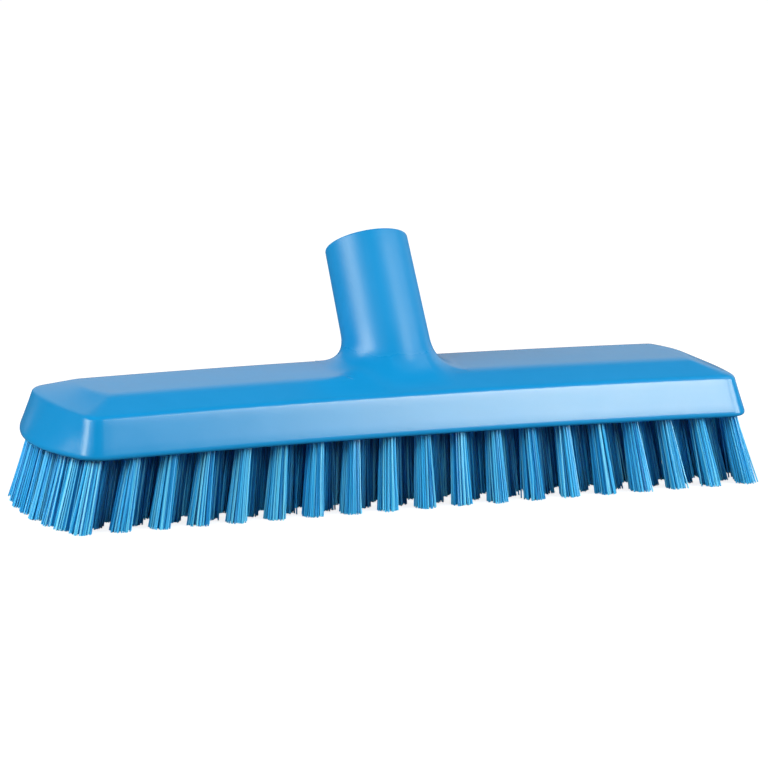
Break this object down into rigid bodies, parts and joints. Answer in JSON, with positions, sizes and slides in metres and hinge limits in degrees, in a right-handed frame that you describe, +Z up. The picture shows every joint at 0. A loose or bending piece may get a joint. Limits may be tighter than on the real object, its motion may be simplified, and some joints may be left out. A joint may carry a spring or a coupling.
{
  "type": "water-fed scrub brush",
  "caption": "Deck scrub brush head with a slanted water-fed handle socket, a crowned plastic block and staggered rows of flared bristle around a central water strip.",
  "frame": {"origin": "middle of the footprint box on the floor that the bristle tips stand on", "axes": "+X along the block, +Y the way the handle socket leans, +Z up"},
  "size_m": [0.2746, 0.0691, 0.0918],
  "materials": {
    "block_plastic": "glossy",
    "bristle": "satin",
    "seal_rubber": "matte"
  },
  "bodies": {
    "root": {"brush_block": "block_plastic", "outlet_strip": "block_plastic", "socket_washer": "seal_rubber", "bristle_row_1_left": "bristle", "bristle_row_1_middle": "bristle", "bristle_row_1_right": "bristle", "bristle_row_2_left": "bristle", "bristle_row_2_middle": "bristle", "bristle_row_2_right": "bristle", "bristle_row_3_left": "bristle", "bristle_row_3_middle": "bristle", "bristle_row_3_right": "bristle", "bristle_row_4_left": "bristle", "bristle_row_4_middle": "bristle", "bristle_row_4_right": "bristle", "bristle_row_5_left": "bristle", "bristle_row_5_middle": "bristle", "bristle_row_5_right": "bristle", "bristle_row_6_left": "bristle", "bristle_row_6_middle": "bristle", "bristle_row_6_right": "bristle", "bristle_end_left": "bristle", "bristle_end_right": "bristle"}
  },
  "joints": []
}
